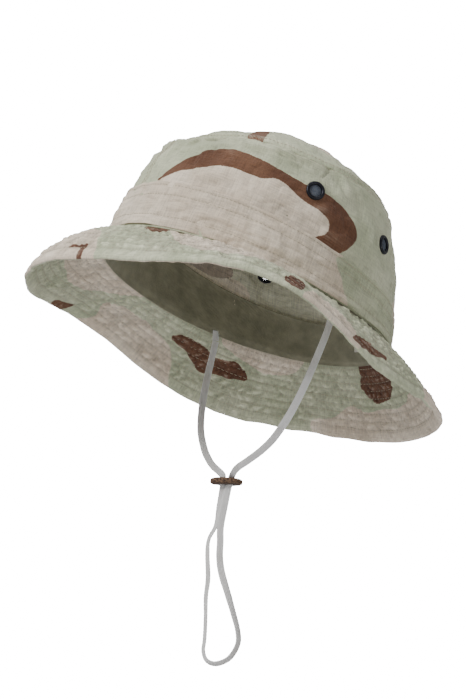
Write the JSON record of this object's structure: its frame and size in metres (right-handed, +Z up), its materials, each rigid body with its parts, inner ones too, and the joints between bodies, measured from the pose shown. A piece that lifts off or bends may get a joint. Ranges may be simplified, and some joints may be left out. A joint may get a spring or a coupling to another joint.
{
  "type": "boonie hat",
  "caption": "Soft cotton sun hat with a row-stitched drooping brim, a domed crown with a band, screened side vents and a chin strap with a sliding leather keeper.",
  "frame": {"origin": "centre of the head opening, on the seam where the crown meets the brim", "axes": "+Z up with the hat as worn, pitched back 22.8 degrees; -Y towards the front of the hat, +X towards the wearer's left"},
  "size_m": [0.268, 0.2664, 0.3411],
  "materials": {
    "camouflage_cloth": "washed cotton poplin printed in sand, pale green and brown patches, matt, roughness 0.9",
    "stiffener": "stiff woven interlining, matt",
    "sweatband_cloth": "folded cotton tape, matt",
    "label": "blank woven label, matt",
    "strap_tape": "pale flat braid with fine lengthwise ribs, matt",
    "blackened_metal": "black lacquered metal, satin, a little worn",
    "vent_screen": "fine grey-blue wire screen, satin",
    "leather": "brown grained leather with rough cut edges"
  },
  "bodies": {
    "hat": {"brim_stiffener": "stiffener", "brim_top_ply": "camouflage_cloth", "brim_under_ply": "camouflage_cloth", "crown_band": "camouflage_cloth", "crown_tip": "camouflage_cloth", "crown_wall_left": "camouflage_cloth", "crown_wall_right": "camouflage_cloth", "eyelet_left_front": "blackened_metal", "eyelet_left_rear": "blackened_metal", "eyelet_right_front": "blackened_metal", "eyelet_right_rear": "blackened_metal", "eyelet_screen_left_front": "vent_screen", "eyelet_screen_left_rear": "vent_screen", "eyelet_screen_right_front": "vent_screen", "eyelet_screen_right_rear": "vent_screen", "eyelet_washer_left_front": "blackened_metal", "eyelet_washer_left_rear": "blackened_metal", "eyelet_washer_right_front": "blackened_metal", "eyelet_washer_right_rear": "blackened_metal", "size_label": "label", "strap_tab_left": "strap_tape", "strap_tab_right": "strap_tape", "sweatband": "sweatband_cloth"},
    "strap": {"chin_strap": "strap_tape"},
    "slider": {"slider": "leather"}
  },
  "joints": [
    {"name": "strap_swing", "type": "hinge", "parent": "hat", "child": "strap", "pos_m": [0, 0.0186, -0.019], "axis": [1, 0, 0], "range_deg": [-70, 45]},
    {"name": "slider_slide", "type": "slide", "parent": "strap", "child": "slider", "axis": [-0.1191, -0.1191, -0.9857], "range_m": [0, 0.024]}
  ]
}
